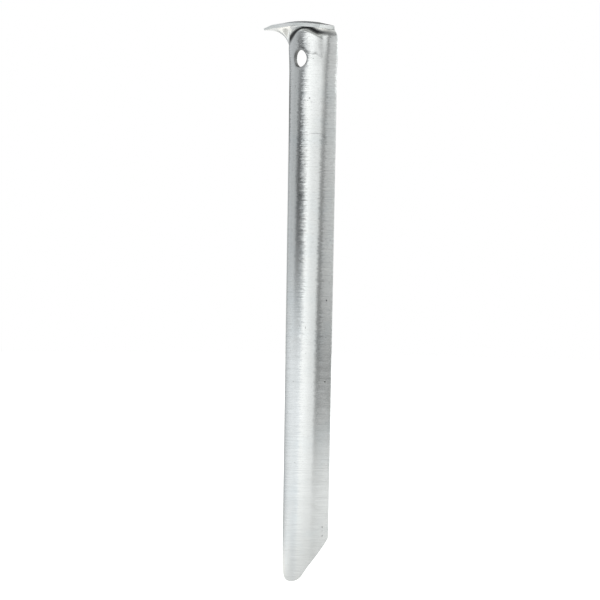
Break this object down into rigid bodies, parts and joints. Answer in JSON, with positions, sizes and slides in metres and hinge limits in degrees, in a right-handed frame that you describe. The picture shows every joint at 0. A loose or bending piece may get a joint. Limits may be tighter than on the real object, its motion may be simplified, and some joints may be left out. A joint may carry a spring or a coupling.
{
  "type": "tent stake",
  "caption": "Half-round channel ground peg of bent sheet steel with a turned-out hook head, a cord hole under it and a rounded V point.",
  "frame": {"origin": "on the channel's axis, at the height of the foot's lowest point", "axes": "+Z along the stake from foot to head, -Y towards the convex back and the hook, +X across the channel"},
  "size_m": [0.0436, 0.0193, 0.3047],
  "materials": {
    "zinc_plated_steel": "bright zinc plating with fine crosswise rolling lines"
  },
  "bodies": {
    "root": {"stake": "zinc_plated_steel"}
  },
  "joints": []
}
